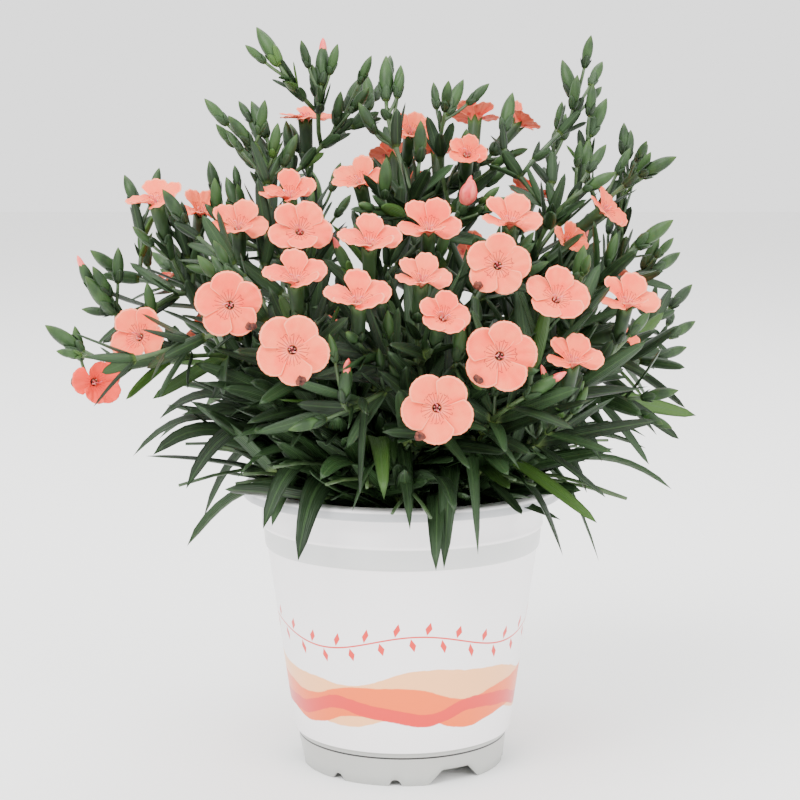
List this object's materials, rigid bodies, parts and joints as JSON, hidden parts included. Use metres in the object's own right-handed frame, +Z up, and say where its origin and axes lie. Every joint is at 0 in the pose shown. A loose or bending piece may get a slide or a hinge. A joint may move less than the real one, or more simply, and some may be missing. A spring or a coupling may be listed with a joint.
{
  "type": "potted dianthus plant",
  "caption": "Compact dianthus with narrow blue-green leaves, pointed buds and flat five-petalled blooms, standing in a tapered round pot filled with compost.",
  "frame": {"origin": "middle of the pot's standing face, on the floor and on the pot's axis", "axes": "+Z up along the pot's axis, -Y towards the viewer of the picture, +X to the viewer's right"},
  "size_m": [0.2393, 0.2176, 0.2747],
  "materials": {
    "pot_plastic": "smooth white injection-moulded plastic, with a satin sheen",
    "compost": "dark moist compost, matt and crumbly",
    "leaf": "waxy blue-green leaves, stems, calyces and buds",
    "petal": "soft matt salmon petals"
  },
  "bodies": {
    "root": {"pot": "pot_plastic", "soil": "compost", "leafy_stem_01": "leaf", "leafy_stem_02": "leaf", "leafy_stem_03": "leaf", "leafy_stem_04": "leaf", "leafy_stem_05": "leaf", "leafy_stem_06": "leaf", "leafy_stem_07": "leaf", "leafy_stem_08": "leaf", "leafy_stem_09": "leaf", "leafy_stem_10": "leaf", "leafy_stem_11": "leaf", "leafy_stem_12": "leaf", "leafy_stem_13": "leaf", "leafy_stem_14": "leaf", "leafy_stem_15": "leaf", "bloom_01": "petal", "bloom_02": "petal", "bloom_03": "petal", "bloom_04": "petal", "bloom_05": "petal", "bloom_06": "petal", "bloom_07": "petal", "bloom_08": "petal", "bloom_09": "petal", "bloom_10": "petal", "bloom_11": "petal", "bloom_12": "petal", "bloom_13": "petal", "bloom_14": "petal", "bloom_15": "petal", "bloom_16": "petal", "bloom_17": "petal", "bloom_18": "petal", "bloom_19": "petal", "bloom_20": "petal", "bloom_21": "petal", "bloom_22": "petal", "bloom_23": "petal", "bloom_24": "petal", "bloom_25": "petal", "bloom_26": "petal", "bloom_27": "petal", "bloom_28": "petal", "bloom_29": "petal", "bloom_30": "petal", "bloom_31": "petal", "bloom_32": "petal", "bloom_33": "petal", "bloom_34": "petal", "bloom_35": "petal", "bloom_36": "petal", "bloom_37": "petal", "bloom_38": "petal", "bloom_39": "petal", "bloom_40": "petal", "bloom_41": "petal", "bloom_42": "petal"}
  },
  "joints": []
}
